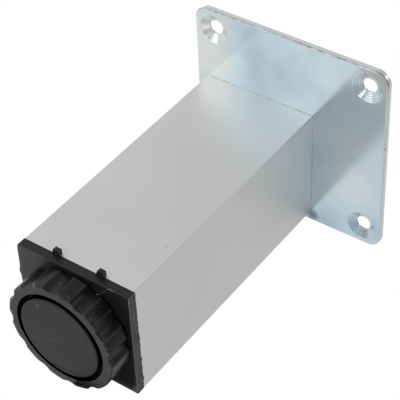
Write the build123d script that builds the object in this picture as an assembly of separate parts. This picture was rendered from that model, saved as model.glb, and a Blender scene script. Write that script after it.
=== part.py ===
from build123d import *
import os
from math import atan2, cos, degrees, radians, tan

# Adjustable furniture leg: a square aluminium tube under an eccentric steel mounting plate, closed
# below by a black plastic cap that holds a screw foot. Millimetres. Z runs up the tube's axis, the
# floor that the foot stands on is z = 0, and the plate reaches furthest towards +X and -Y.

# Tube: a square extrusion with an open screw port in each inner corner
tube_side = 40.0
tube_wall = 1.5
tube_length = 92.0
tube_edge_round = 0.3
port_inset = 4.4
port_outer_d = 6.4
port_bore_d = 3.5
port_slot = 1.4

# Mounting plate: punched steel sheet, with the tube set towards one of its corners
plate_side = 70.0
plate_thickness = 2.0
plate_overhang_short = 4.0
plate_corner_r = 4.5
plate_edge_round = 0.5
hole_edge_distance = 7.0
hole_d = 5.0
hole_sink_d = 10.2
hole_land = 0.4

# Self-tapping screws that hold the plate to the tube's ports
screw_core_d = 3.4
screw_tip_d = 0.8
screw_length = 16.0
screw_head_d = 7.2
screw_land = 0.15
screw_hole_clearance = 0.5
screw_head_clearance = 0.1
screw_head_below = 0.05
cross_width = 1.1
cross_span = 4.0
cross_depth = 1.3

# End cap: a flange flush with the tube, and a hollow plug that is pressed into it
cap_thickness = 3.0
cap_edge_round = 0.25
plug_depth = 14.0
plug_wall = 2.0
plug_clearance = 0.15
plug_to_port = 0.5
plug_lead_in = 0.8
rib_width = 1.2
rib_spacing = 12.0
boss_wall = 1.5
boss_roof = 3.0
web_thickness = 1.6
web_below_boss = 1.0
tab_spacing = 16.0
tab_width = 2.8
tab_height = 1.9
tab_slope = 0.7
tab_on_flange = 0.5
tab_over_tube = 0.9

# Captive hexagon nut in the cap
nut_across_flats = 13.0
nut_height = 6.5
nut_below_face = 0.8

# Spindle: a set screw with a hexagon head that the knob is moulded round
spindle_d = 8.0
spindle_length = 34.0
spindle_end_chamfer = 1.0
thread_clearance = 0.05
bore_clearance = 0.4
head_across_flats = 13.0
head_height = 3.6
head_floor = 3.0

# Foot knob with its lobed grip
knob_d = 38.2
knob_height = 8.2
knob_lobes = 12
knob_valley_angle = 25.8
flute_depth = 1.3
flute_r = 4.2
knob_front_round = 0.8
knob_back_round = 0.5
hub_d = 20.0
hub_height = 0.4
hub_to_cap = 0.1
recess_d = 31.6
recess_depth = 3.4
clip_wall = 1.4
back_pocket_depth = 2.8
back_rim = 2.6
back_ribs = 6
back_rib_width = 1.4

# Glide pad: clips on the knob and stays still on the floor while the knob turns
pad_d = 28.4
pad_disc = 1.2
pad_skirt_wall = 1.4
pad_collar_wall = 1.5
pad_running_clearance = 0.05
pad_end_gap = 0.15
pad_top_gap = 0.4
pad_proud = 0.3
pad_edge_round = 0.4

# Levels up the leg, from the floor
knob_front_z = pad_proud
knob_back_z = knob_front_z + knob_height
recess_z = knob_front_z + recess_depth
clip_end_z = pad_disc + pad_end_gap
head_seat_z = knob_back_z + hub_height - head_floor
cap_face_z = knob_back_z + hub_height + hub_to_cap
nut_z = cap_face_z + nut_below_face
nut_top_z = nut_z + nut_height
tube_z = cap_face_z + cap_thickness
plate_z = tube_z + tube_length
plate_top_z = plate_z + plate_thickness

# Places across the leg
tube_half = tube_side / 2
tube_inside = tube_side - 2 * tube_wall
port_centre = tube_half - port_inset
port_places = [(sx * port_centre, sy * port_centre) for sx in (-1, 1) for sy in (-1, 1)]
plate_shift = plate_side / 2 - tube_half - plate_overhang_short
plate_x, plate_y = plate_shift, -plate_shift
hole_reach = plate_side / 2 - hole_edge_distance
head_corner_r = head_across_flats / 2 / cos(radians(30))
nut_corner_r = nut_across_flats / 2 / cos(radians(30))
clip_r = head_corner_r + clip_wall


def upright(radius, bottom, top, x=0.0, y=0.0):
    solid = Cylinder(radius, top - bottom, align=(Align.CENTER, Align.CENTER, Align.MIN))
    return Pos(x, y, bottom) * solid


def taper(radius_low, radius_high, bottom, top, x=0.0, y=0.0):
    solid = Cone(radius_low, radius_high, top - bottom, align=(Align.CENTER, Align.CENTER, Align.MIN))
    return Pos(x, y, bottom) * solid


def block(size_x, size_y, bottom, top, x=0.0, y=0.0):
    solid = Box(size_x, size_y, top - bottom, align=(Align.CENTER, Align.CENTER, Align.MIN))
    return Pos(x, y, bottom) * solid


def hexagon_bar(across_flats, bottom, top):
    outline = RegularPolygon(across_flats / 2, 6, major_radius=False)
    return Pos(0, 0, bottom) * extrude(outline, top - bottom)


def turned(outline):
    """A solid of revolution about Z from (radius, height) points."""
    points = [(r, 0, z) for r, z in outline]
    return revolve(make_face(Polyline(*points, close=True)), Axis.Z)


def hexagon_head(across_flats, bottom, top):
    """A hexagon whose corners are turned down at 30 degrees at both ends, as on a nut."""
    flat_r = across_flats / 2
    corner_r = flat_r / cos(radians(30))
    drop = (corner_r - flat_r) * tan(radians(30))
    envelope = turned(
        [(0, bottom), (flat_r, bottom), (corner_r, bottom + drop)]
        + [(corner_r, top - drop), (flat_r, top), (0, top)]
    )
    return hexagon_bar(across_flats, bottom, top) & envelope


def edges_at(solid, height):
    return [e for e in solid.edges() if abs(e.center().Z - height) < 1e-4]


def screw_seat(x, y):
    """The space of a plate screw's head, with its clearance."""
    head_depth = (screw_head_d - screw_core_d) / 2
    neck_r = screw_core_d / 2 + screw_head_clearance
    mouth_r = screw_head_d / 2 + screw_head_clearance
    land_z = plate_top_z - screw_head_below - screw_land
    cone = taper(neck_r, mouth_r, land_z - head_depth, land_z, x, y)
    return cone + upright(mouth_r, land_z, plate_top_z, x, y)


def build_tube():
    skin = block(tube_side, tube_side, tube_z, plate_z)
    skin = fillet(skin.edges().filter_by(Axis.Z), tube_edge_round)
    tube = skin - block(tube_inside, tube_inside, tube_z, plate_z)
    for x, y in port_places:
        tube += upright(port_outer_d / 2, tube_z, plate_z, x, y)
    for x, y in port_places:
        slot = block(port_outer_d, port_slot, tube_z, plate_z, port_outer_d / 2)
        tube -= upright(port_bore_d / 2, tube_z, plate_z, x, y)
        tube -= Pos(x, y, 0) * Rot(0, 0, degrees(atan2(-y, -x))) * slot
        tube -= screw_seat(x, y)
    return tube


def build_plate():
    plate = block(plate_side, plate_side, plate_z, plate_top_z, plate_x, plate_y)
    plate = fillet(plate.edges().filter_by(Axis.Z), plate_corner_r)
    plate = fillet(edges_at(plate, plate_z), plate_edge_round)
    # The corner that the tube covers has no hole
    for sx, sy in ((-1, -1), (1, -1), (1, 1)):
        x = plate_x + sx * hole_reach
        y = plate_y + sy * hole_reach
        plate -= upright(hole_d / 2, plate_z, plate_top_z, x, y)
        plate -= taper(hole_sink_d / 2, hole_d / 2, plate_z, plate_top_z - hole_land, x, y)
    for x, y in port_places:
        plate -= upright(screw_core_d / 2 + screw_hole_clearance, plate_z, plate_top_z, x, y)
        plate -= screw_seat(x, y)
    return plate


def build_plate_screw(x, y):
    core_r, head_r = screw_core_d / 2, screw_head_d / 2
    top = plate_top_z - screw_head_below
    land_z = top - screw_land
    neck_z = land_z - (head_r - core_r)
    tip_z = top - screw_length
    screw = turned(
        [(0, tip_z), (screw_tip_d / 2, tip_z), (core_r, tip_z + screw_core_d)]
        + [(core_r, neck_z), (head_r, land_z), (head_r, top), (0, top)]
    )
    for span_x, span_y in ((cross_span, cross_width), (cross_width, cross_span)):
        screw -= block(span_x, span_y, top - cross_depth, top)
    return Pos(x, y, 0) * screw


def stepped_square(side, cut):
    """A square with a smaller square cut out of each corner."""
    return Rectangle(side, side - 2 * cut) + Rectangle(side - 2 * cut, side)


def build_cap():
    flange = block(tube_side, tube_side, cap_face_z, tube_z)
    flange = fillet(edges_at(flange, cap_face_z), cap_edge_round)
    plug_side = tube_inside - 2 * plug_clearance
    plug_top = tube_z + plug_depth
    cut = plug_side / 2 - (port_centre - port_outer_d / 2 - plug_to_port)
    outside = extrude(stepped_square(plug_side, cut), plug_depth)
    outside = chamfer(edges_at(outside, plug_depth), plug_lead_in)
    inside = extrude(stepped_square(plug_side - 2 * plug_wall, cut), plug_depth)
    plug = Pos(0, 0, tube_z) * (outside - inside)
    # Crush ribs take up the clearance between the plug and the tube
    for turn in range(4):
        for along in (-rib_spacing / 2, rib_spacing / 2):
            reach = (plug_side + plug_clearance) / 2
            rib = block(plug_clearance, rib_width, tube_z, plug_top - 2 * plug_lead_in, reach, along)
            plug += Rot(0, 0, 90 * turn) * rib
    boss_top = nut_top_z + boss_roof
    plug += upright(nut_corner_r + boss_wall, tube_z, boss_top)
    for span_x, span_y in ((plug_side - plug_wall, web_thickness), (web_thickness, plug_side - plug_wall)):
        plug += block(span_x, span_y, tube_z, boss_top - web_below_boss)
    cap = flange + plug
    cap -= upright(spindle_d / 2 + bore_clearance, cap_face_z, boss_top)
    cap -= hexagon_bar(nut_across_flats, cap_face_z, nut_top_z)
    for x in (-tab_spacing / 2, tab_spacing / 2):
        cap += build_tab(x)
    return cap


def build_tab(x):
    """A low hook on the flange's front edge, leaning over the end of the tube."""
    left, right = x - tab_width / 2, x + tab_width / 2
    foot, crest = -tube_half, -tube_half - tab_height
    outline = Polyline((left, foot), (left + tab_slope, crest), (right, crest), (right, foot), close=True)
    tab = extrude(make_face(outline), tab_on_flange + tab_over_tube)
    return Pos(0, 0, tube_z - tab_on_flange) * tab


def build_nut():
    nut = hexagon_head(nut_across_flats, nut_z, nut_top_z)
    return nut - upright(spindle_d / 2 + thread_clearance, nut_z, nut_top_z)


def build_spindle():
    spindle = hexagon_head(head_across_flats, head_seat_z - head_height, head_seat_z)
    shank = upright(spindle_d / 2, head_seat_z, head_seat_z + spindle_length)
    shank = chamfer(edges_at(shank, head_seat_z + spindle_length), spindle_end_chamfer)
    return spindle + shank


def build_knob():
    r = knob_d / 2
    knob = upright(r, knob_front_z, knob_back_z)
    knob = fillet(edges_at(knob, knob_front_z), knob_front_round)
    knob = fillet(edges_at(knob, knob_back_z), knob_back_round)
    flute_at = r - flute_depth + flute_r
    flute = upright(flute_r, knob_front_z, knob_back_z, flute_at)
    for lobe in range(knob_lobes):
        knob -= Rot(0, 0, knob_valley_angle + 360 / knob_lobes * lobe) * flute
    knob -= upright(recess_d / 2, knob_front_z, recess_z) - upright(clip_r, clip_end_z, recess_z)
    # The back is cored out round the hub, with ribs left standing
    coring = upright(r - flute_depth - back_rim, knob_back_z - back_pocket_depth, knob_back_z)
    coring -= upright(hub_d / 2, knob_back_z - back_pocket_depth, knob_back_z)
    for rib in range(back_ribs // 2):
        bar = block(knob_d, back_rib_width, knob_back_z - back_pocket_depth, knob_back_z)
        coring -= Rot(0, 0, 360 / back_ribs * rib) * bar
    knob -= coring
    knob += upright(hub_d / 2, knob_back_z, knob_back_z + hub_height)
    knob -= hexagon_head(head_across_flats, head_seat_z - head_height, head_seat_z)
    knob -= hexagon_bar(head_across_flats, clip_end_z, head_seat_z - head_height / 2)
    knob -= upright(spindle_d / 2, clip_end_z, knob_back_z + hub_height)
    return knob


def build_pad():
    r = pad_d / 2
    pad = upright(r, 0, recess_z - pad_top_gap)
    pad = fillet(edges_at(pad, 0), pad_edge_round)
    bore_r = clip_r + pad_running_clearance
    pad -= upright(r - pad_skirt_wall, pad_disc, recess_z) - upright(bore_r + pad_collar_wall, pad_disc, recess_z)
    pad -= upright(bore_r, pad_disc, recess_z)
    return pad


def build_all():
    nodes = {
        "leg_tube": build_tube(),
        "mounting_plate": build_plate(),
        "end_cap": build_cap(),
        "spindle_nut": build_nut(),
        "spindle": build_spindle(),
        "foot_knob": build_knob(),
        "glide_pad": build_pad(),
    }
    for number, (x, y) in enumerate(port_places, 1):
        nodes[f"plate_screw_{number}"] = build_plate_screw(x, y)
    return nodes


os.makedirs("parts", exist_ok=True)
for name, solid in build_all().items():
    solid.label = name
    export_step(solid, f"parts/{name}.step")
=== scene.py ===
import bpy
import numpy as np
from mathutils import Matrix, Vector


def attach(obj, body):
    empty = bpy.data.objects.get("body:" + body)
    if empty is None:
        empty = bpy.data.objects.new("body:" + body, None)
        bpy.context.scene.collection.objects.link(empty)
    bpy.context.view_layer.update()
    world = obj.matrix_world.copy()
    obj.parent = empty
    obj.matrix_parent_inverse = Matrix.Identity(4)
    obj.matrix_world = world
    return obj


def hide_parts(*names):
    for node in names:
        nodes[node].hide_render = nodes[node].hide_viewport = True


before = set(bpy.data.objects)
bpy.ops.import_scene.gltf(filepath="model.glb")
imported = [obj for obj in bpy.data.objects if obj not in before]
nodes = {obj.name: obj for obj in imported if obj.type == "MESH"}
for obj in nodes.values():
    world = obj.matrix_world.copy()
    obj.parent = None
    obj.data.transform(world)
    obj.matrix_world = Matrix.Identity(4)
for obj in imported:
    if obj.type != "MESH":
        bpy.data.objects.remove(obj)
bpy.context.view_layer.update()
scene = bpy.context.scene

# Studio. The leg is seen from below its foot, past the tube, at the plate. A white light tent stands round
# it, brighter beyond the leg than behind the camera. Softboxes beside the camera and the plate put glints on
# the edges, and one overhead throws a soft shadow on the floor when the leg is seen upright.
MM = 0.001


def colour(code):
    """sRGB hex turned into linear red, green and blue, with alpha 1."""
    srgb = np.array([int(code[i : i + 2], 16) for i in (1, 3, 5)]) / 255
    linear = np.where(srgb <= 0.04045, srgb / 12.92, ((srgb + 0.055) / 1.055) ** 2.4)
    return (*linear.tolist(), 1.0)


def add(tree, kind, settings=None, links=None):
    """Adds a node. Settings are its attributes by name and its sockets by name or number, and links feed its
    sockets."""
    node = tree.nodes.new(kind)
    for name, value in (settings or {}).items():
        if isinstance(name, str) and name in node.bl_rna.properties:
            setattr(node, name, value)
        else:
            node.inputs[name].default_value = value
    for name, output in (links or {}).items():
        tree.links.new(output, node.inputs[name])
    return node


# The camera is the one that fits the edges of the leg in the photograph.
camera_place = Vector((209.556, -310.760, -204.355)) * MM
camera_ahead = Vector((-0.451635, 0.668238, 0.591172))
camera_right = Vector((0.814666, 0.038693, 0.578639))
sensor_mm = 36.0
lens_mm = 132.99
camera = bpy.data.objects.new("camera", bpy.data.cameras.new("camera"))
camera.data.sensor_width = sensor_mm
camera.data.lens = lens_mm
camera.data.clip_start = 0.01
camera.data.clip_end = 20.0
camera_up = camera_right.cross(camera_ahead)
camera_turn = Matrix((camera_right, camera_up, -camera_ahead)).transposed()
camera.matrix_world = Matrix.Translation(camera_place) @ camera_turn.to_4x4()
scene.collection.objects.link(camera)
scene.camera = camera
scene.view_settings.view_transform = "Standard"

# The tent's brightness in a direction is its level plus the slope's dot product with that direction. The
# camera itself sees plain white behind the leg.
tent_level = 0.60
tent_slope = Vector((-0.27, 0.18, 0.0))
tent = bpy.data.worlds.new("light_tent")
scene.world = tent
tent.use_nodes = True
tree = tent.node_tree
tree.nodes.clear()
towards = add(tree, "ShaderNodeTexCoord").outputs["Generated"]
slope = {"operation": "DOT_PRODUCT", 1: tent_slope}
slope = add(tree, "ShaderNodeVectorMath", slope, {0: towards}).outputs["Value"]
level = add(tree, "ShaderNodeMath", {"operation": "ADD", 1: tent_level}, {0: slope}).outputs[0]
cloth = add(tree, "ShaderNodeBackground", {"Color": colour("#FDFEFF")}, {"Strength": level})
behind = add(tree, "ShaderNodeBackground", {"Color": (1, 1, 1, 1), "Strength": 1.0})
ray = add(tree, "ShaderNodeLightPath").outputs["Is Camera Ray"]
seen = add(tree, "ShaderNodeMixShader", links={0: ray, 1: cloth.outputs[0], 2: behind.outputs[0]})
add(tree, "ShaderNodeOutputWorld", links={"Surface": seen.outputs[0]})

leg_middle = Vector((5, -5, 55)) * MM


def softbox(name, direction, distance, side, watts):
    """A square area light that faces the leg's middle from one direction. Distance and side are metres."""
    lamp = bpy.data.lights.new(name, "AREA")
    lamp.size = side
    lamp.energy = watts
    light = bpy.data.objects.new(name, lamp)
    away = Vector(direction).normalized()
    place = leg_middle + away * distance
    light.matrix_world = Matrix.Translation(place) @ away.to_track_quat("Z", "Y").to_matrix().to_4x4()
    scene.collection.objects.link(light)


softbox("softbox_left_of_camera", (-0.45, -0.65, -0.61), 0.7, 0.60, 1.0)
softbox("softbox_right_of_camera", (0.30, -0.50, -0.81), 0.7, 0.19, 0.5)
softbox("softbox_beside_plate", (0.67, -0.45, 0.59), 0.7, 0.20, 0.25)
softbox("softbox_beyond_plate", (0.72, 0.60, -0.33), 0.7, 0.36, 0.09)
softbox("softbox_overhead", (-0.3, 0.2, 0.93), 0.9, 1.0, 2.2)

# Floor: pale matt paper under the foot. It has one side only, so that a camera below it sees the leg, it
# fades into the tent far off, and it rides on the glide pad, which stands on it at every pose.
floor_reach = 1.6
floor_fade = {"interpolation_type": "SMOOTHSTEP", "From Min": 0.20, "From Max": 1.50}


def sheet(name, corners, unseen_by):
    """A flat sheet with four corners, unseen by some kinds of ray."""
    mesh = bpy.data.meshes.new(name)
    mesh.from_pydata(corners.tolist(), [], [(0, 1, 2, 3)])
    made = bpy.data.objects.new(name, mesh)
    scene.collection.objects.link(made)
    for kind in unseen_by:
        setattr(made, f"visible_{kind}", False)
    return made


floor_corners = np.array([(-1, -1, 0), (1, -1, 0), (1, 1, 0), (-1, 1, 0)]) * floor_reach
floor = sheet("floor", floor_corners, ("shadow", "glossy", "diffuse", "transmission"))
floor_paper = bpy.data.materials.new("pale_matt_paper")
floor_paper.use_nodes = True
tree = floor_paper.node_tree
tree.nodes.clear()
under = add(tree, "ShaderNodeNewGeometry").outputs["Backfacing"]
paper = add(tree, "ShaderNodeBsdfDiffuse", {"Color": colour("#F2F3F3")})
nothing = add(tree, "ShaderNodeBsdfTransparent")
place = add(tree, "ShaderNodeTexCoord").outputs["Object"]
far = add(tree, "ShaderNodeVectorMath", {"operation": "LENGTH"}, {0: place}).outputs["Value"]
far = add(tree, "ShaderNodeMapRange", floor_fade, {0: far}).outputs[0]
gone = add(tree, "ShaderNodeMath", {"operation": "MAXIMUM"}, {0: under, 1: far}).outputs[0]
one_sided = add(tree, "ShaderNodeMixShader", links={0: gone, 1: paper.outputs[0], 2: nothing.outputs[0]})
add(tree, "ShaderNodeOutputMaterial", links={"Surface": one_sided.outputs[0]})
floor.data.materials.append(floor_paper)
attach(floor, "glide")

# Black card below the foot in the picture, in place of the shadow that the leg throws on the table it lies
# on. It is velvet with no gloss of its own, and it shows in other things' gloss alone, so it darkens the
# cap's lower face.
card_x = (1, 17)
card_y = 20.6
card_z = (-5, 8.4)
card_turns = ((0, 0), (1, 0), (1, 1), (0, 1))
card_corners = np.array([(card_x[i], card_y, card_z[j]) for i, j in card_turns]) * MM
card = sheet("black_card", card_corners, ("camera", "shadow", "diffuse", "transmission"))
card_velvet = bpy.data.materials.new("black_velvet")
card_velvet.use_nodes = True
velvet_shader = card_velvet.node_tree.nodes["Principled BSDF"]
velvet_shader.inputs["Base Color"].default_value = (0, 0, 0, 1)
velvet_shader.inputs["Specular IOR Level"].default_value = 0.0
card.data.materials.append(card_velvet)

# Leg tube: a square aluminium extrusion with a screw port in each corner, sawn to length. It is anodised in
# natural silver after a caustic bath, which leaves an even satin with faint draw lines and a few dark pits.
tube_draw_spacing = 0.5 * MM
tube_draw_length = 60 * MM
tube_draw_depth = 0.02 * MM
tube_cloud_size = 25 * MM
tube_speckle_size = 2.5 * MM
# The last strip below the plate is darker: painted shadow of the thin gap at the plate, with the saw's burr
# and its dirt: where it starts, and how ragged that is.
tube_sawn_z = 103.62 * MM
tube_sawn_ragged = 0.3 * MM
tube_sawn_shade_and_dirt = {"From Min": 0.38, "From Max": 0.60, "To Min": 0.62, "To Max": 0.93}
# The place and radius of each pit, in mm.
tube_pits = ((16.7, -20, 31.4, 0.16), (20, -3.4, 58.0, 0.10), (-6.2, -20, 66.5, 0.08), (20, 9.1, 37.0, 0.09))
tube_pit_edge = {"From Min": 0.7, "From Max": 1.3, "To Min": 0.35, "To Max": 1.0}
tube_tones = {"data_type": "RGBA", 6: colour("#ECEBE8"), 7: colour("#F4F3F1")}


def material(name, settings):
    """A metal or plastic with the shader's own sockets set; returns it with its tree and shader."""
    made = bpy.data.materials.new(name)
    made.use_nodes = True
    shader = made.node_tree.nodes["Principled BSDF"]
    for socket, value in settings.items():
        shader.inputs[socket].default_value = value
    return made, made.node_tree, shader


def dress(made, *names):
    """Gives CAD nodes one material."""
    for name in names:
        nodes[name].data.materials.clear()
        nodes[name].data.materials.append(made)


anodised, tree, shader = material("natural_anodised_aluminium", {"Metallic": 1.0, "Roughness": 0.50})
place = add(tree, "ShaderNodeTexCoord").outputs["Object"]
along_tube = (1 / tube_draw_spacing, 1 / tube_draw_spacing, 1 / tube_draw_length)
drawn = add(tree, "ShaderNodeMapping", {"Scale": along_tube}, {"Vector": place}).outputs[0]
lines = add(tree, "ShaderNodeTexNoise", {"Scale": 1.0, "Detail": 2.0}, {"Vector": drawn}).outputs["Fac"]
clouds = {"Scale": 1 / tube_cloud_size, "Detail": 1.0}
clouds = add(tree, "ShaderNodeTexNoise", clouds, {"Vector": place}).outputs["Fac"]
satin = add(tree, "ShaderNodeMix", tube_tones, {0: clouds}).outputs[2]
nearest = None
for x, y, z, r in tube_pits:
    centre = Vector((x, y, z)) * MM
    away = {"operation": "DISTANCE", 1: centre}
    away = add(tree, "ShaderNodeVectorMath", away, {0: place}).outputs["Value"]
    reach = add(tree, "ShaderNodeMath", {"operation": "DIVIDE", 1: r * MM}, {0: away}).outputs[0]
    if nearest is not None:
        reach = add(tree, "ShaderNodeMath", {"operation": "MINIMUM"}, {0: nearest, 1: reach}).outputs[0]
    nearest = reach
pit = add(tree, "ShaderNodeMapRange", tube_pit_edge, {0: nearest}).outputs[0]
speckle = {"Scale": 1 / tube_speckle_size, "Detail": 3.0}
speckle = add(tree, "ShaderNodeTexNoise", speckle, {"Vector": place}).outputs["Fac"]
ragged = {"operation": "MULTIPLY_ADD", 1: tube_sawn_ragged, 2: tube_sawn_z}
ragged = add(tree, "ShaderNodeMath", ragged, {0: speckle}).outputs[0]
up_tube = add(tree, "ShaderNodeSeparateXYZ", links={0: place}).outputs["Z"]
above = add(tree, "ShaderNodeMath", {"operation": "GREATER_THAN"}, {0: up_tube, 1: ragged}).outputs[0]
# Below the plate the colour darkens in ragged specks: painted shadow of the gap, with some dirt.
joint_shade = add(tree, "ShaderNodeMapRange", tube_sawn_shade_and_dirt, {0: speckle}).outputs[0]
sawn_end_shade = add(tree, "ShaderNodeMix", {2: 1.0}, {0: above, 3: joint_shade}).outputs[0]
dark = add(tree, "ShaderNodeMath", {"operation": "MULTIPLY"}, {0: pit, 1: sawn_end_shade}).outputs[0]
pitted = add(tree, "ShaderNodeVectorMath", {"operation": "SCALE"}, {0: satin, "Scale": dark}).outputs[0]
tree.links.new(pitted, shader.inputs["Base Color"])
grain = {"Strength": 0.06, "Distance": tube_draw_depth}
grain = add(tree, "ShaderNodeBump", grain, {"Height": lines}).outputs[0]
tree.links.new(grain, shader.inputs["Normal"])
dress(anodised, "leg_tube")

# Mounting plate: punched steel sheet, zinc plated and passivated blue. The plating is a soft mirror that
# shows the tube in it, with a pale to bluish bloom, over which patches of painted reflection and shade lie.
# The countersinks were turned and carry the tool's rings.
plate_middle = (11, -11)
plate_half = 35
plate_corner_r = 4.5
plate_front_z = 104
plate_holes = ((-17, -39), (39, -39), (39, 17))
plate_smooth, plate_rough = 0.17, 0.34
# Painted reflections and shade: where the plating pales or, below nought, darkens: x and y in mm, with each
# patch's reach and strength. They come on top of the plating's own bloom with soft clouds.
plate_painted_patches = ((35, 3, 15, 0.46), (-22, -30, 22, 0.8), (-17, -42, 12, 0.3), (33, -14, 16, 0.2))
plate_painted_patches += ((42, -42, 13, 0.45), (23, 23, 12, -0.3), (0, -31, 22, -0.27), (45, -9, 8, 0.1))
bloom_size = 14 * MM
bloom_strength, bloom_least = 0.5, 0.05
# The sheared edge starts this far inside the outline, and is all there by the second number, in mm.
sheared_inside = (0.34, 0.22)
# The plate's front arris is torn. The dark strip on it ends between these heights over the front face, and it
# weakens along the side edges between these values of y, in mm.
arris_rise = (0.36, 0.50)
arris_y = (-44, -36)
arris_weak = 0.3
arris_dark = {"From Min": 0.35, "From Max": 0.65, "To Min": 0.30, "To Max": 0.72}
tear_size = (1.6 * MM, 1.6 * MM, 4 * MM)
# The real feed is about 0.15 mm a turn; the rings are drawn coarser so that they show. They end below this
# height, which keeps them off the plate's back.
sink_ring_r = 5.7 * MM
sink_ring_spacing = 0.55 * MM
sink_ring_height = 0.024 * MM
sink_ring_top_z = 105.9 * MM
# The colour darkens along the rings' grooves: painted shade in the grooves.
sink_groove_shade = {"From Min": -1.0, "From Max": 0.2, "To Min": 0.72, "To Max": 1.0}
# The rings are crisp in one hole only; the tool was worn or the plating thick in the other two.
crisp_hole = (39, -39)
crisp_reach = (10 * MM, 12 * MM)
worn_rings = 0.4
sheet_grain_size = 0.8 * MM
sheet_grain_share = 0.05
# A nick in the +X edge, with its inner and outer reach.
plate_nick = Vector((46.0, -18.1, 104.2)) * MM
plate_nick_fade = {"From Min": 0.2 * MM, "From Max": 0.5 * MM, "To Min": 0.2}
# Painted shade darkens the corner between the plate and the end of the tube. Its centre is in front of the
# plate, so that it doesn't reach the back.
plate_corner_shade = Vector((20.3, 21.3, 102)) * MM
plate_corner_shade_fade = {"From Min": 2.04 * MM, "From Max": 3.65 * MM, "To Min": 0.35}

zinc, tree, shader = material("blue_passivated_zinc_plate", {"Metallic": 1.0, "Roughness": plate_smooth})
place = add(tree, "ShaderNodeTexCoord").outputs["Object"]
bloom = {"Scale": 1 / bloom_size, "Detail": 2.0}
bloom = add(tree, "ShaderNodeTexNoise", bloom, {"Vector": place}).outputs["Fac"]
pale = {"operation": "MULTIPLY_ADD", 1: bloom_strength, 2: bloom_least}
pale = add(tree, "ShaderNodeMath", pale, {0: bloom}).outputs[0]
# Each patch paints a reflection or, below nought, shade into the plating's colour.
for x, y, r, paleness in plate_painted_patches:
    centre = Vector((x, y, plate_front_z)) * MM
    away = {"operation": "DISTANCE", 1: centre}
    away = add(tree, "ShaderNodeVectorMath", away, {0: place}).outputs["Value"]
    fade = {"interpolation_type": "SMOOTHSTEP", "From Max": r * MM, "To Min": paleness, "To Max": 0.0}
    patch = add(tree, "ShaderNodeMapRange", fade, {0: away}).outputs[0]
    pale = add(tree, "ShaderNodeMath", {"operation": "ADD"}, {0: pale, 1: patch}).outputs[0]
hue = add(tree, "ShaderNodeValToRGB", links={0: pale})
hue.color_ramp.elements[0].position = 0.0
hue.color_ramp.elements[0].color = colour("#ADC4D0")
hue.color_ramp.elements[1].position = 1.0
hue.color_ramp.elements[1].color = colour("#EAEEEA")
hue.color_ramp.elements.new(0.3).color = colour("#CBDFE8")

# How far outward a point lies from the square that joins the centres of the corners' rounds. On the outline
# that is the corner's radius.
straight = (plate_half - plate_corner_r) * MM
outward = place
for operation, by in (
    ("SUBTRACT", (plate_middle[0] * MM, plate_middle[1] * MM, 0)),
    ("ABSOLUTE", (0, 0, 0)),
    ("SUBTRACT", (straight, straight, 1.0)),
    ("MAXIMUM", (0, 0, 0)),
):
    outward = add(tree, "ShaderNodeVectorMath", {"operation": operation, 1: by}, {0: outward}).outputs[0]
outward = add(tree, "ShaderNodeVectorMath", {"operation": "LENGTH"}, {0: outward}).outputs["Value"]
edge_from, edge_full = ((plate_corner_r - inside) * MM for inside in sheared_inside)
sheared = {"From Min": edge_from, "From Max": edge_full}
sheared = add(tree, "ShaderNodeMapRange", sheared, {0: outward}).outputs[0]
on_plate = add(tree, "ShaderNodeSeparateXYZ", links={0: place})
arris_from, arris_end = ((plate_front_z + rise) * MM for rise in arris_rise)
arris = {"From Min": arris_from, "From Max": arris_end, "To Min": 1.0, "To Max": 0.0}
arris = add(tree, "ShaderNodeMapRange", arris, {0: on_plate.outputs["Z"]}).outputs[0]
burr = {"From Min": arris_y[0] * MM, "From Max": arris_y[1] * MM, "To Min": 1.0, "To Max": arris_weak}
burr = add(tree, "ShaderNodeMapRange", burr, {0: on_plate.outputs["Y"]}).outputs[0]
for part in (sheared, burr):
    arris = add(tree, "ShaderNodeMath", {"operation": "MULTIPLY"}, {0: arris, 1: part}).outputs[0]

# The rings are a sine of the distance from the nearest hole's axis.
flat = add(tree, "ShaderNodeVectorMath", {"operation": "MULTIPLY", 1: (1, 1, 0)}, {0: place}).outputs[0]
nearest = None
for x, y in plate_holes:
    axis = Vector((x, y, 0)) * MM
    away = add(tree, "ShaderNodeVectorMath", {"operation": "DISTANCE", 1: axis}, {0: flat}).outputs["Value"]
    if nearest is not None:
        away = add(tree, "ShaderNodeMath", {"operation": "MINIMUM"}, {0: nearest, 1: away}).outputs[0]
    nearest = away
turned = {"operation": "MULTIPLY", 1: 2 * np.pi / sink_ring_spacing}
turned = add(tree, "ShaderNodeMath", turned, {0: nearest}).outputs[0]
rings = add(tree, "ShaderNodeMath", {"operation": "SINE"}, {0: turned}).outputs[0]
in_sink = add(tree, "ShaderNodeMath", {"operation": "LESS_THAN", 1: sink_ring_r}, {0: nearest}).outputs[0]
in_front = {"operation": "LESS_THAN", 1: sink_ring_top_z}
in_front = add(tree, "ShaderNodeMath", in_front, {0: on_plate.outputs["Z"]}).outputs[0]
to_crisp = {"operation": "DISTANCE", 1: Vector((*crisp_hole, plate_front_z)) * MM}
to_crisp = add(tree, "ShaderNodeVectorMath", to_crisp, {0: place}).outputs["Value"]
crisp = {"From Min": crisp_reach[0], "From Max": crisp_reach[1], "To Min": 1.0, "To Max": worn_rings}
crisp = add(tree, "ShaderNodeMapRange", crisp, {0: to_crisp}).outputs[0]
for part in (in_sink, in_front, crisp):
    rings = add(tree, "ShaderNodeMath", {"operation": "MULTIPLY"}, {0: rings, 1: part}).outputs[0]
grain = {"Scale": 1 / sheet_grain_size, "Detail": 3.0}
grain = add(tree, "ShaderNodeTexNoise", grain, {"Vector": place}).outputs["Fac"]
fine = add(tree, "ShaderNodeMath", {"operation": "MULTIPLY", 1: sheet_grain_share}, {0: grain}).outputs[0]
height = add(tree, "ShaderNodeMath", {"operation": "ADD"}, {0: rings, 1: fine}).outputs[0]
relief = {"Strength": 1.0, "Distance": sink_ring_height}
relief = add(tree, "ShaderNodeBump", relief, {"Height": height}).outputs[0]
tree.links.new(relief, shader.inputs["Normal"])
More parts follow.
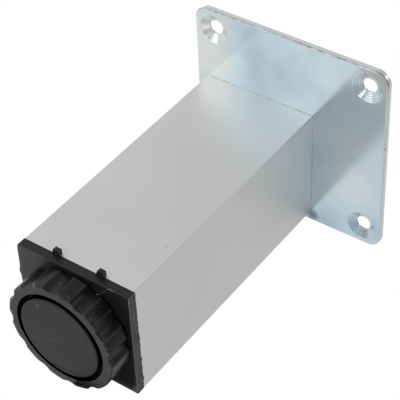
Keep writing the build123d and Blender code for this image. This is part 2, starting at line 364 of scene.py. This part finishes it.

# The torn arris and the nick darken the plating, and painted shade darkens the rings' grooves and the corner
# by the tube's end.
torn = tuple(1 / size for size in tear_size)
torn = add(tree, "ShaderNodeMapping", {"Scale": torn}, {"Vector": place}).outputs[0]
torn = add(tree, "ShaderNodeTexNoise", {"Scale": 1.0, "Detail": 3.0}, {"Vector": torn}).outputs["Fac"]
torn = add(tree, "ShaderNodeMapRange", arris_dark, {0: torn}).outputs[0]
shade = add(tree, "ShaderNodeMix", {2: 1.0}, {0: arris, 3: torn}).outputs[0]
nick = {"operation": "DISTANCE", 1: plate_nick}
nick = add(tree, "ShaderNodeVectorMath", nick, {0: place}).outputs["Value"]
nick = add(tree, "ShaderNodeMapRange", plate_nick_fade, {0: nick}).outputs[0]
# Painted shade in the rings' grooves.
groove_shade = add(tree, "ShaderNodeMapRange", sink_groove_shade, {0: rings}).outputs[0]
# Painted shade in the corner by the tube's end.
joint_shade = {"operation": "DISTANCE", 1: plate_corner_shade}
joint_shade = add(tree, "ShaderNodeVectorMath", joint_shade, {0: place}).outputs["Value"]
joint_shade = add(tree, "ShaderNodeMapRange", plate_corner_shade_fade, {0: joint_shade}).outputs[0]
for mark in (nick, groove_shade, joint_shade):
    shade = add(tree, "ShaderNodeMath", {"operation": "MULTIPLY"}, {0: shade, 1: mark}).outputs[0]
bare = {"data_type": "RGBA", 7: colour("#F4F8F7")}
bare = add(tree, "ShaderNodeMix", bare, {0: sheared, 6: hue.outputs[0]}).outputs[2]
marked = add(tree, "ShaderNodeVectorMath", {"operation": "SCALE"}, {0: bare, "Scale": shade}).outputs[0]
tree.links.new(marked, shader.inputs["Base Color"])
blunt = {"To Min": plate_smooth, "To Max": plate_rough}
blunt = add(tree, "ShaderNodeMapRange", blunt, {0: sheared}).outputs[0]
tree.links.new(blunt, shader.inputs["Roughness"])
dress(zinc, "mounting_plate")

# Plate screws and nut: steel, cold headed and rolled, then barrel plated in bright zinc, so a little duller
# and greyer than the plate. They are hidden once the leg is fitted.
bright_zinc = {"Base Color": colour("#D2D6D7"), "Metallic": 1.0, "Roughness": 0.28}
bright_zinc = material("bright_zinc_plated_steel", bright_zinc)[0]
dress(bright_zinc, "plate_screw_1", "plate_screw_2", "plate_screw_3", "plate_screw_4", "spindle_nut")

# End cap: moulded in black polypropylene with a spark-eroded matt finish and pressed into the tube. Its +X
# rim is a lighter dusty brown grey, in streaks along it: partly rubbed, partly a painted sheen on that side.
cap_half = 20
cap_face_z = 9
cap_back_z = 12
# How far inside the +X side the rub and its painted sheen start and are full, in mm.
rub_and_sheen_inside = (0.20, 0.05)
rub_and_sheen_size = (2 * MM, 7 * MM, 0.6 * MM)
rub_and_sheen_streaks = {"From Min": 0.32, "From Max": 0.70, "To Max": 0.9}
cloud_size = 6 * MM
grain_depth = 0.02 * MM
# The solid middle of a light speck, as a share of its radius. Half of the cells have no speck.
speck_middle = 0.6
speck_chance = {"From Min": 0.5}


def from_axis(tree, place):
    """How far a point lies from the leg's axis, and its height."""
    flat = add(tree, "ShaderNodeVectorMath", {"operation": "MULTIPLY", 1: (1, 1, 0)}, {0: place}).outputs[0]
    out = add(tree, "ShaderNodeVectorMath", {"operation": "LENGTH"}, {0: flat}).outputs["Value"]
    up = add(tree, "ShaderNodeSeparateXYZ", links={0: place}).outputs["Z"]
    return out, up


def black_plastic(name, roughness, ior, grain_size, speck_spacing, speck_r, gap=None):
    """Black polypropylene: next to no colour of its own, so its gloss is what shows, with a few light specks
    where it was scuffed. Between the two radii of the gap and above its height the colour is painted black
    and
    metallic: painted shade of the narrow gap round the glide pad, which no light comes out of. Returns the
    material, its tree and shader, the place on it and its colour."""
    made, tree, shader = material(name, {"Roughness": roughness, "IOR": ior})
    place = add(tree, "ShaderNodeTexCoord").outputs["Object"]
    cloud = {"Scale": 1 / cloud_size, "Detail": 2.0}
    cloud = add(tree, "ShaderNodeTexNoise", cloud, {"Vector": place}).outputs["Fac"]
    tone = {"data_type": "RGBA", 6: colour("#151113"), 7: colour("#221B1E")}
    tone = add(tree, "ShaderNodeMix", tone, {0: cloud}).outputs[2]
    cells = add(tree, "ShaderNodeTexVoronoi", {"Scale": 1 / speck_spacing}, {"Vector": place})
    speck_size = speck_r / speck_spacing
    speck = {"From Min": speck_middle * speck_size, "From Max": speck_size, "To Min": 1.0, "To Max": 0.0}
    speck = add(tree, "ShaderNodeMapRange", speck, {0: cells.outputs["Distance"]}).outputs[0]
    some = add(tree, "ShaderNodeSeparateColor", links={0: cells.outputs["Color"]}).outputs[0]
    some = add(tree, "ShaderNodeMapRange", speck_chance, {0: some}).outputs[0]
    speck = add(tree, "ShaderNodeMath", {"operation": "MULTIPLY"}, {0: speck, 1: some}).outputs[0]
    skin = {"data_type": "RGBA", 7: colour("#A09E98")}
    skin = add(tree, "ShaderNodeMix", skin, {0: speck, 6: tone}).outputs[2]
    grain = {"Scale": 1 / grain_size, "Detail": 2.0}
    grain = add(tree, "ShaderNodeTexNoise", grain, {"Vector": place}).outputs["Fac"]
    relief = {"Strength": 0.25, "Distance": grain_depth}
    relief = add(tree, "ShaderNodeBump", relief, {"Height": grain}).outputs[0]
    tree.links.new(relief, shader.inputs["Normal"])
    if gap:
        inner_r, outer_r, height = gap
        out, up = from_axis(tree, place)
        gap_shade = add(tree, "ShaderNodeMath", {"operation": "GREATER_THAN", 1: height}, {0: up}).outputs[0]
        for side, r in (("GREATER_THAN", inner_r), ("LESS_THAN", outer_r)):
            within = add(tree, "ShaderNodeMath", {"operation": side, 1: r}, {0: out}).outputs[0]
            gap_shade = add(tree, "ShaderNodeMath", {"operation": "MULTIPLY"}, {0: gap_shade, 1: within}).outputs[0]
        # The gap is painted black and metallic: painted shade.
        unlit = {"data_type": "RGBA", 7: (0, 0, 0, 1)}
        skin = add(tree, "ShaderNodeMix", unlit, {0: gap_shade, 6: skin}).outputs[2]
        tree.links.new(gap_shade, shader.inputs["Metallic"])
    return made, tree, shader, place, skin


cap_look = {"roughness": 0.40, "ior": 1.44, "grain_size": 0.35 * MM, "speck_spacing": 2.6 * MM}
cap_look |= {"speck_r": 0.13 * MM}
cap_plastic, tree, shader, place, skin = black_plastic("black_polypropylene_cap", **cap_look)
rub_and_sheen_from, rub_and_sheen_full = ((cap_half - inside) * MM for inside in rub_and_sheen_inside)
rim = add(tree, "ShaderNodeSeparateXYZ", links={0: place}).outputs["X"]
rim = add(tree, "ShaderNodeMapRange", {"From Min": rub_and_sheen_from, "From Max": rub_and_sheen_full}, {0: rim}).outputs[0]
streak = tuple(1 / size for size in rub_and_sheen_size)
streak = add(tree, "ShaderNodeMapping", {"Scale": streak}, {"Vector": place}).outputs[0]
streak = add(tree, "ShaderNodeTexNoise", {"Scale": 1.0, "Detail": 4.0}, {"Vector": streak}).outputs["Fac"]
streak = add(tree, "ShaderNodeMapRange", rub_and_sheen_streaks, {0: streak}).outputs[0]
# The +X side's streaks: rub and painted sheen.
rub_and_sheen = add(tree, "ShaderNodeMath", {"operation": "MULTIPLY"}, {0: streak, 1: rim}).outputs[0]
dusty_rub_and_sheen = {"data_type": "RGBA", 7: colour("#564F47")}
dusty_rub_and_sheen = add(tree, "ShaderNodeMix", dusty_rub_and_sheen, {0: rub_and_sheen, 6: skin}).outputs[2]
tree.links.new(dusty_rub_and_sheen, shader.inputs["Base Color"])
dress(cap_plastic, "end_cap")

# Flash: the cap's plastic, squeezed into the mould's parting lines and left on as thin torn films. A curl on
# the front rim, burrs along both edges of the +X side and four nubs are paler than the cap, as thin plastic
# is. A fin on the left rim and a smear over the tube's end are as black as the cap.
sharp_angle = np.radians(35)
strip_sides = 8


def new_piece(name, points, faces, made, body):
    """Puts a finished mesh in the scene at the origin, smooth up to its sharp edges, riding on its body."""
    mesh = bpy.data.meshes.new(name)
    mesh.from_pydata(points.tolist(), [], faces)
    mesh.polygons.foreach_set("use_smooth", np.ones(len(mesh.polygons), bool))
    mesh.set_sharp_from_angle(angle=sharp_angle)
    mesh.update()
    piece = bpy.data.objects.new(name, mesh)
    scene.collection.objects.link(piece)
    mesh.materials.append(made)
    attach(piece, body)
    return piece


def ring_faces(rows, columns):
    """Quads between successive closed rings of points, with a fan to one point at each end. The points are
    the rings in order, then the first end's point, then the last end's."""
    row, column = np.meshgrid(np.arange(rows - 1), np.arange(columns), indexing="ij")
    here = row * columns + column
    after = row * columns + (column + 1) % columns
    quads = np.stack([here, after, after + columns, here + columns], -1)
    step = np.arange(columns)
    follow = (step + 1) % columns
    top = (rows - 1) * columns
    first = np.stack([np.full(columns, rows * columns), follow, step], -1)
    last = np.stack([np.full(columns, rows * columns + 1), top + step, top + follow], -1)
    return quads.reshape(-1, 4).tolist() + first.tolist() + last.tolist()


def flash_strip(path, widths, thickness, across):
    """A strip carried along a path, in mm. Each ring is an ellipse round a path point: half its width along
    `across`, half its thickness along the normal of the path and `across`, so the strip tapers where its
    width does."""
    path = np.asarray(path, float) * MM
    along = np.gradient(path, axis=0)
    along /= np.linalg.norm(along, axis=1, keepdims=True)
    across = np.broadcast_to(np.asarray(across, float), path.shape)
    across = across - along * (across * along).sum(1, keepdims=True)
    across /= np.linalg.norm(across, axis=1, keepdims=True)
    normal = np.cross(along, across)
    angle = np.linspace(0, 2 * np.pi, strip_sides, endpoint=False)[None, :, None]
    wide = np.asarray(widths, float)[:, None, None] * MM / 2 * np.cos(angle)
    thick = thickness * MM / 2 * np.sin(angle)
    rings = path[:, None] + wide * across[:, None] + thick * normal[:, None]
    points = np.concatenate([rings.reshape(-1, 3), path[:1], path[-1:]])
    return points, ring_faces(len(path), strip_sides)


flash_plastic = {"Base Color": colour("#8E8C88"), "Roughness": 0.35, "IOR": 1.5}
flash_plastic = material("thin_plastic_flash", flash_plastic)[0]

curl = [(8.6, -15.9, 8.7), (9.3, -15.9, 8.6), (10.4, -17.0, 8.5), (11.4, -18.3, 8.5), (12.4, -19.4, 8.6)]
curl += [(13.0, -20.05, 8.8), (13.6, -20.2, 9.0), (14.2, -20.0, 8.8), (14.7, -20.1, 9.0), (15.1, -20.0, 9.1)]
curl_width = [0.20, 0.24, 0.10, 0.12, 0.13, 0.22, 0.28, 0.22, 0.14, 0.05]
points, faces = flash_strip(curl, curl_width, thickness=0.05, across=(0, 0, 1))
new_piece("flash_curl", points, faces, flash_plastic, "root")

fin_y = np.array([-19.85, -19.4, -18, -15.5, -13, -11.9, -11, -10.2, -9.3, -8.4, -7.7, -7, -6, -4.5, -3.5])
fin_width = [0.1, 0.9, 1.2, 1.35, 1.3, 1.4, 1.5, 1.88, 2.2, 2.45, 1.9, 1.45, 1.5, 1.4, 0.05]
fin_z = cap_face_z + 0.12
fin = np.stack([np.full(fin_y.shape, -cap_half), fin_y, np.full(fin_y.shape, fin_z)], 1)
points, faces = flash_strip(fin, fin_width, thickness=0.16, across=(1, 0, 0))
new_piece("flash_fin", points, faces, cap_plastic, "root")

burr_dice = np.random.default_rng(4)
burr_steps = 120
burr_half = 19.3
# Each burr's name and height, and the stretch of y in which it is ragged. It is narrower everywhere else.
burrs = (("flash_burr_front", cap_face_z, -20, -15), ("flash_burr_back", cap_back_z - 0.05, -4, 17))
burr_calm = 0.3
# How far a burr and the smear wander up and down at random, and the share of it that a burr wanders outward.
burr_wander = 0.09
burr_wander_out = 0.3
smear_wander = 0.05
smear_half = 19.6
smear_ragged_from = -2
smear_calm = 0.5


def torn_width(mean, spread, least, most):
    """Random widths along a strip, each blended with its neighbours and kept between two limits."""
    width = np.convolve(burr_dice.normal(mean, spread, burr_steps), [0.3, 0.4, 0.3], "same")
    return np.clip(width, least, most)


for name, z, ragged_from, ragged_to in burrs:
    y = np.linspace(-burr_half, burr_half, burr_steps)
    wander = np.convolve(burr_dice.normal(0, burr_wander, burr_steps), [0.25, 0.5, 0.25], "same")
    path = np.stack([cap_half + burr_wander_out * np.abs(wander), y, z + wander], 1)
    torn = torn_width(mean=0.26, spread=0.34, least=0.03, most=0.6)
    torn = torn * np.where((y > ragged_from) & (y < ragged_to), 1.0, burr_calm)
    points, faces = flash_strip(path, torn, thickness=0.10, across=(1, 0, -0.6))
    new_piece(name, points, faces, flash_plastic, "root")

y = np.linspace(-smear_half, smear_half, burr_steps)
smear_z = cap_back_z + burr_dice.normal(0, smear_wander, burr_steps)
path = np.stack([np.full(burr_steps, cap_half), y, smear_z], 1)
smear = torn_width(mean=0.25, spread=0.5, least=0.04, most=1.0)
smear = smear * np.where(y > smear_ragged_from, 1.0, smear_calm)
points, faces = flash_strip(path, smear, thickness=0.09, across=(0, 0, 1))
new_piece("flash_smear", points, faces, cap_plastic, "root")

# Each nub hangs from the tube's end: its y and length.
nubs = ((-17.4, 0.8), (-11.7, 0.7), (-4.8, 1.3), (5.0, 0.9))
nub_width = [0.05, 0.2, 0.34, 0.1]
nub_z = cap_back_z - 0.2
for number, (y, length) in enumerate(nubs, 1):
    path = [(cap_half, y, nub_z - length), (cap_half + 0.06, y - 0.05, nub_z - 0.6 * length)]
    path += [(cap_half + 0.08, y + 0.04, cap_back_z - 0.25), (cap_half + 0.02, y, cap_back_z - 0.05)]
    points, faces = flash_strip(path, nub_width, thickness=0.12, across=(0, 1, 0))
    new_piece(f"flash_nub_{number}", points, faces, flash_plastic, "root")

# Spindle: an M8 set screw, cold headed and thread rolled from steel wire, then plated in bright zinc. The
# knob is moulded round its hexagon head, and its thread shows below the cap when the foot is let out.
thread_pitch = 1.25
thread_crest_r = 3.98
thread_root_r = 3.25
# The shares of a half pitch that the root's flat and a flank take; the crest's flat takes the rest.
thread_flat = 0.25
thread_flank = 0.625
thread_steps_a_turn = 8
spindle_columns = 48
shank_z = (5.9, 39.9)
head_z = (2.3, 5.9)
head_across_flats = 13.0
# The head's end faces are this share of its width across flats, and widen by the tangent of 60 degrees.
head_face_share = 0.96
head_cone_slope = 1.732
head_chamfer_step = 0.25
tip_step = 0.25
tip_chamfer = 1.0


def threaded_spindle():
    """Rings up the axis. On the head the radius is half the width across flats over the cosine of the angle
    from the nearest flat, cut to a 30 degree cone at both ends. On the shank it is the root plus the depth
    times a flat-topped triangle wave of z / pitch - turn, which is a right-hand thread, cut to a 45 degree
    cone at the tip."""
    turn = np.arange(spindle_columns) / spindle_columns
    from_flat = (turn * 6 + 0.5) % 1.0 / 6 - 1 / 12
    hexagon = head_across_flats / 2 / np.cos(2 * np.pi * from_flat)
    low, high = head_z
    chamfer = np.arange(3) * head_chamfer_step
    z_head = np.concatenate([low + chamfer, high - chamfer[::-1]])
    cone = head_across_flats / 2 * head_face_share + np.minimum(z_head - low, high - z_head) * head_cone_slope
    r_head = np.minimum(hexagon[None], cone[:, None])
    z_shank = np.arange(shank_z[0], shank_z[1], thread_pitch / thread_steps_a_turn)
    z_shank = np.append(z_shank, shank_z[1])
    wave = np.abs(2 * ((z_shank[:, None] / thread_pitch - turn[None]) % 1.0) - 1)
    depth = (thread_crest_r - thread_root_r) * np.clip((wave - thread_flat) / thread_flank, 0, 1)
    tip = thread_root_r - tip_step + (shank_z[1] - z_shank[:, None]) / tip_chamfer
    r_shank = np.minimum(thread_root_r + depth, tip)
    r = np.concatenate([r_head, r_shank]) * MM
    z = np.concatenate([z_head, z_shank]) * MM
    angle = 2 * np.pi * turn[None]
    rings = np.stack([r * np.cos(angle), r * np.sin(angle), np.broadcast_to(z[:, None], r.shape)], -1)
    ends = np.array([(0, 0, z[0]), (0, 0, z[-1])])
    return np.concatenate([rings.reshape(-1, 3), ends]), ring_faces(len(z), spindle_columns)


points, faces = threaded_spindle()
spindle = new_piece("threaded_spindle", points, faces, bright_zinc, "foot")
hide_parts("spindle")

# Foot knob: moulded in black polypropylene round the spindle's head, with 12 shallow flutes for the fingers.
# Its gloss is a little higher than the cap's. Handling has scuffed its shoulder, and the light lines along
# the flutes' edges are painted highlights.
gap_z = 0.45 * MM
knob_gap = (13 * MM, 15.9 * MM, gap_z)
knob_lobes = 12
# The angle of one flute's middle, and half a flute's width, in degrees.
knob_valley_angle = 25.8
knob_flute_half = 8.5
knob_shoulder_r = {"From Min": 17.6 * MM, "From Max": 18.4 * MM}
knob_shoulder_z = {"From Min": 0.9 * MM, "From Max": 2.2 * MM, "To Min": 1.0, "To Max": 0.0}
knob_scuff_size = 1.6 * MM
knob_scuff = {"From Min": 0.50, "From Max": 0.68}
knob_crest_highlight = {"From Min": 0.010, "From Max": 0.060, "To Min": 0.26, "To Max": 0.0}

knob_look = {"roughness": 0.28, "ior": 1.40, "grain_size": 0.5 * MM, "speck_spacing": 1.7 * MM}
knob_look |= {"speck_r": 0.15 * MM, "gap": knob_gap}
knob_plastic, tree, shader, place, skin = black_plastic("black_polypropylene_knob", **knob_look)
out, up = from_axis(tree, place)
shoulder = add(tree, "ShaderNodeMapRange", knob_shoulder_r, {0: out}).outputs[0]
low = add(tree, "ShaderNodeMapRange", knob_shoulder_z, {0: up}).outputs[0]
scuff = {"Scale": 1 / knob_scuff_size, "Detail": 4.0}
scuff = add(tree, "ShaderNodeTexNoise", scuff, {"Vector": place}).outputs["Fac"]
scuff = add(tree, "ShaderNodeMapRange", knob_scuff, {0: scuff}).outputs[0]
for part in (shoulder, low):
    scuff = add(tree, "ShaderNodeMath", {"operation": "MULTIPLY"}, {0: scuff, 1: part}).outputs[0]

# How far round a point lies from the nearest flute's edge, as a share of the step from flute to flute. It is
# counted from the middle of the nearest flute, where the share of a step is one half.
across = add(tree, "ShaderNodeSeparateXYZ", links={0: place}).outputs
turn = add(tree, "ShaderNodeMath", {"operation": "ARCTAN2"}, {0: across["Y"], 1: across["X"]}).outputs[0]
flute_half = knob_flute_half / 360 * knob_lobes
flute_shift = 0.5 - knob_valley_angle * knob_lobes / 360
turn_steps = (("MULTIPLY", knob_lobes / (2 * np.pi)), ("ADD", flute_shift), ("FRACT", 0.0), ("SUBTRACT", 0.5))
turn_steps += (("ABSOLUTE", 0.0), ("SUBTRACT", flute_half), ("ABSOLUTE", 0.0))
for step, value in turn_steps:
    turn = add(tree, "ShaderNodeMath", {"operation": step, 1: value}, {0: turn}).outputs[0]
# Thin light lines along the flutes' edges, on the knob's side only: painted highlights.
crest_highlight = add(tree, "ShaderNodeMapRange", knob_crest_highlight, {0: turn}).outputs[0]
side = {"operation": "GREATER_THAN", 1: knob_shoulder_r["From Max"]}
side = add(tree, "ShaderNodeMath", side, {0: out}).outputs[0]
crest_highlight = add(tree, "ShaderNodeMath", {"operation": "MULTIPLY"}, {0: crest_highlight, 1: side}).outputs[0]
wear_and_highlight = add(tree, "ShaderNodeMath", {"operation": "MAXIMUM"}, {0: scuff, 1: crest_highlight}).outputs[0]
# Scuffs on the shoulder and painted highlights on the flutes' edges lighten the knob to one grey.
scuffed_and_highlit = {"data_type": "RGBA", 7: colour("#5E5E60")}
scuffed_and_highlit = add(tree, "ShaderNodeMix", scuffed_and_highlit, {0: wear_and_highlight, 6: skin}).outputs[2]
tree.links.new(scuffed_and_highlit, shader.inputs["Base Color"])
dress(knob_plastic, "foot_knob")

# Glide pad: a black disc that clips in the knob's face and stays still on the floor while the knob turns. Its
# face is duller than the knob, with a few scratches and grains of dirt from the floor.
pad_gap = (13.9 * MM, 15 * MM, gap_z)
# Both ends of each scratch, and the place and radius of each grain, in mm.
pad_scratches = ((-3.8, -5.0, 1.1, -9.2), (-5.8, 4.6, 0.6, -0.6))
pad_scratches += ((5.6, -6.4, 9.4, -4.1), (-9.0, -1.5, -7.4, 2.8))
pad_grains = ((-6.8, -9.8, 0.55), (-6.1, -10.6, 0.3), (9.3, 5.3, 0.28))
pad_grains += ((7.2, 7.7, 0.3), (8.1, 6.6, 0.2), (3.2, -2.6, 0.22))
scratch_width = 0.10 * MM
scratch_light = 0.17
grain_light = 0.5
grain_middle = 0.4
pad_break_size = 0.7 * MM
pad_break = {"From Min": 0.35, "From Max": 0.6}

pad_look = {"roughness": 0.42, "ior": 1.33, "grain_size": 0.35 * MM, "speck_spacing": 2.6 * MM}
pad_look |= {"speck_r": 0.12 * MM, "gap": pad_gap}
pad_plastic, tree, shader, place, skin = black_plastic("black_polypropylene_pad", **pad_look)
flat = add(tree, "ShaderNodeVectorMath", {"operation": "MULTIPLY", 1: (1, 1, 0)}, {0: place}).outputs[0]
marks = []
for x1, y1, x2, y2 in pad_scratches:
    start = Vector((x1, y1, 0)) * MM
    line = Vector((x2 - x1, y2 - y1, 0)) * MM
    beside = add(tree, "ShaderNodeVectorMath", {"operation": "SUBTRACT", 1: start}, {0: flat}).outputs[0]
    beside_line = {"operation": "CROSS_PRODUCT", 1: line.normalized()}
    beside = add(tree, "ShaderNodeVectorMath", beside_line, {0: beside}).outputs[0]
    beside = add(tree, "ShaderNodeVectorMath", {"operation": "LENGTH"}, {0: beside}).outputs["Value"]
    middle = {"operation": "DISTANCE", 1: start + line / 2}
    middle = add(tree, "ShaderNodeVectorMath", middle, {0: flat}).outputs["Value"]
    in_line = {"operation": "LESS_THAN", 1: line.length / 2}
    in_line = add(tree, "ShaderNodeMath", in_line, {0: middle}).outputs[0]
    in_width = {"From Min": scratch_width / 2, "From Max": scratch_width}
    in_width |= {"To Min": scratch_light, "To Max": 0.0}
    scratch = add(tree, "ShaderNodeMapRange", in_width, {0: beside}).outputs[0]
    marks.append(add(tree, "ShaderNodeMath", {"operation": "MULTIPLY"}, {0: scratch, 1: in_line}).outputs[0])
for x, y, r in pad_grains:
    centre = Vector((x, y, 0)) * MM
    away = add(tree, "ShaderNodeVectorMath", {"operation": "DISTANCE", 1: centre}, {0: flat}).outputs["Value"]
    spot = {"From Min": grain_middle * r * MM, "From Max": r * MM, "To Min": grain_light, "To Max": 0.0}
    marks.append(add(tree, "ShaderNodeMapRange", spot, {0: away}).outputs[0])
lit = marks[0]
for mark in marks[1:]:
    lit = add(tree, "ShaderNodeMath", {"operation": "MAXIMUM"}, {0: lit, 1: mark}).outputs[0]
broken = {"Scale": 1 / pad_break_size, "Detail": 2.0}
broken = add(tree, "ShaderNodeTexNoise", broken, {"Vector": place}).outputs["Fac"]
broken = add(tree, "ShaderNodeMapRange", pad_break, {0: broken}).outputs[0]
lit = add(tree, "ShaderNodeMath", {"operation": "MULTIPLY"}, {0: lit, 1: broken}).outputs[0]
dirty = {"data_type": "RGBA", 7: colour("#8F8E8E")}
dirty = add(tree, "ShaderNodeMix", dirty, {0: lit, 6: skin}).outputs[2]
tree.links.new(dirty, shader.inputs["Base Color"])
dress(pad_plastic, "glide_pad")
